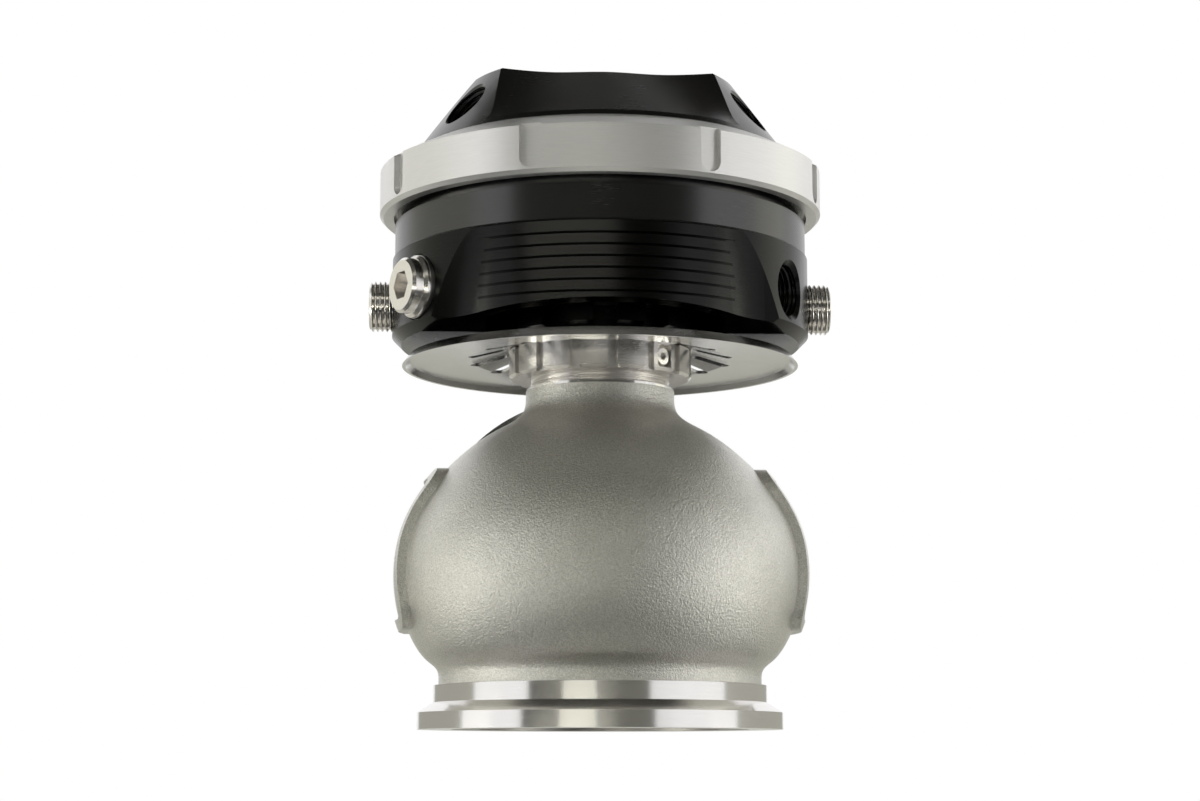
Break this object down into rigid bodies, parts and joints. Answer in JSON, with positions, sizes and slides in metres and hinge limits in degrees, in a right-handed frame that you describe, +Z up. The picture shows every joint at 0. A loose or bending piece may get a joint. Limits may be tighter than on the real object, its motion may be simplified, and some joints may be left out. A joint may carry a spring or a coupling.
{
  "type": "turbo wastegate",
  "caption": "External turbo wastegate with V-band flanges, stainless casting, black actuator, silver locking collar, heat shield and threaded coolant stubs.",
  "frame": {"origin": "centre of the inlet flange's sealing face, on the valve axis", "axes": "+Z up along the valve stem, +Y out of the outlet flange, -Y the front with the grooved panel, +X the side with the open port"},
  "size_m": [0.1088, 0.1093, 0.1514],
  "materials": {
    "cast_steel": "bead-blasted stainless casting, fine grain, satin",
    "valve_steel": "turned heat-resistant steel, satin",
    "bronze": "plain bronze, satin",
    "bright_steel": "machined stainless steel, fine turning marks",
    "screw_steel": "bright plated socket screw",
    "polished_steel": "polished stainless sheet, mirror-like with fine rubbing marks",
    "black_anodise": "black anodised aluminium, semi-gloss",
    "nickel": "bright nickel plate",
    "washer_steel": "plain steel, satin",
    "seal_rubber": "moulded fluorocarbon rubber, matte",
    "diaphragm_rubber": "fabric-reinforced rubber, matte",
    "satin_aluminium": "clear anodised, satin turned",
    "plain_aluminium": "turned aluminium, plain",
    "spring_steel": "dark oiled spring steel"
  },
  "bodies": {
    "valve_body": {"body_casting": "cast_steel", "valve_seat": "valve_steel", "valve_guide": "bronze", "lock_nut": "bright_steel", "lock_nut_screw": "screw_steel"},
    "actuator": {"heat_shield": "polished_steel", "lower_housing": "black_anodise", "coolant_fitting_left": "nickel", "coolant_fitting_right": "nickel", "port_plug": "nickel", "port_plug_washer": "washer_steel", "stem_bush": "bronze", "stem_seal": "seal_rubber", "seal_circlip": "spring_steel", "diaphragm": "diaphragm_rubber", "locking_collar": "satin_aluminium", "top_cap": "black_anodise", "spring_outer": "spring_steel", "spring_inner": "spring_steel"},
    "valve_train": {"valve": "valve_steel", "piston": "plain_aluminium", "spring_plate": "plain_aluminium", "stem_washer": "washer_steel", "stem_nut": "nickel"}
  },
  "joints": [
    {"name": "actuator_clocking", "type": "hinge", "parent": "valve_body", "child": "actuator", "pos_m": [0, 0, 0.092], "axis": [0, 0, 1], "continuous": true},
    {"name": "valve_lift", "type": "slide", "parent": "actuator", "child": "valve_train", "axis": [0, 0, 1], "range_m": [0, 0.014], "stiffness_N_per_m": 6000, "springref_m": -0.008, "deforming": ["spring_outer", "spring_inner", "diaphragm"]}
  ]
}
